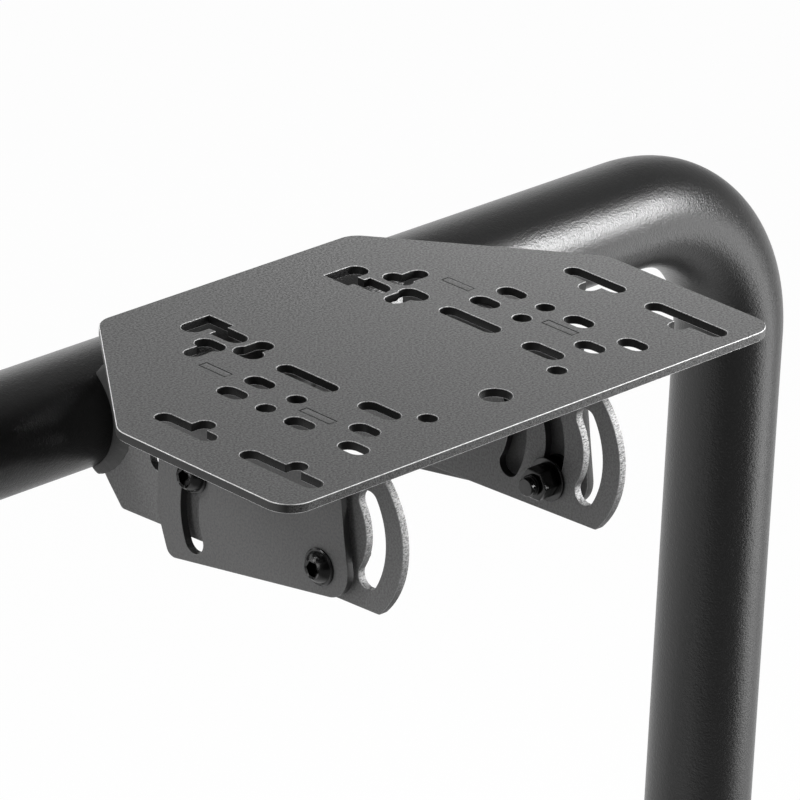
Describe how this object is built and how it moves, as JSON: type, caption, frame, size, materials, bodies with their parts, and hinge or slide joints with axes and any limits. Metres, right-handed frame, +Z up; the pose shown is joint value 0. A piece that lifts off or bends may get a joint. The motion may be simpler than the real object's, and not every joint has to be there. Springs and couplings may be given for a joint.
{
  "type": "racing wheel stand",
  "caption": "Tube hoop on two floor runners carrying a slotted wheel deck that tilts on screws in arc-slotted side plates.",
  "frame": {"origin": "on the floor, in the plane of the hoop and midway between its legs", "axes": "+X along the top tube to the right as seen by the driver, -Y towards the driver, +Z up"},
  "size_m": [0.7408, 0.632, 0.7],
  "materials": {
    "tube_coat": "satin black powder coat",
    "plate_coat": "fine textured dark grey powder coat",
    "black_oxide": "black oxide steel",
    "cap_plastic": "moulded black plastic",
    "foot_rubber": "black rubber"
  },
  "bodies": {
    "frame": {"top_tube": "tube_coat", "cross_tube": "tube_coat", "left_bend": "tube_coat", "left_leg": "tube_coat", "left_runner": "tube_coat", "left_frame_plate": "plate_coat", "left_front_cap": "cap_plastic", "left_front_foot": "foot_rubber", "left_rear_cap": "cap_plastic", "left_rear_foot": "foot_rubber", "left_slot_screw": "black_oxide", "left_slot_spacer": "black_oxide", "left_slot_washer": "black_oxide", "left_slot_nut": "black_oxide", "right_bend": "tube_coat", "right_leg": "tube_coat", "right_runner": "tube_coat", "right_frame_plate": "plate_coat", "right_front_cap": "cap_plastic", "right_front_foot": "foot_rubber", "right_rear_cap": "cap_plastic", "right_rear_foot": "foot_rubber", "right_slot_screw": "black_oxide", "right_slot_spacer": "black_oxide", "right_slot_washer": "black_oxide", "right_slot_nut": "black_oxide"},
    "pivot_screws": {"left_pivot_screw": "black_oxide", "left_pivot_spacer": "black_oxide", "left_pivot_washer": "black_oxide", "left_pivot_nut": "black_oxide", "right_pivot_screw": "black_oxide", "right_pivot_spacer": "black_oxide", "right_pivot_washer": "black_oxide", "right_pivot_nut": "black_oxide"},
    "deck": {"deck": "plate_coat", "left_deck_plate": "plate_coat", "right_deck_plate": "plate_coat"}
  },
  "joints": [
    {"name": "front_raise", "type": "hinge", "parent": "frame", "child": "pivot_screws", "pos_m": [0, -0.0803, 0.6505], "axis": [-1, 0, 0], "range_deg": [0, 14]},
    {"name": "rear_raise", "type": "hinge", "parent": "pivot_screws", "child": "deck", "pos_m": [0, -0.1555, 0.6362], "axis": [1, 0, 0], "range_deg": [0, 20]}
  ]
}
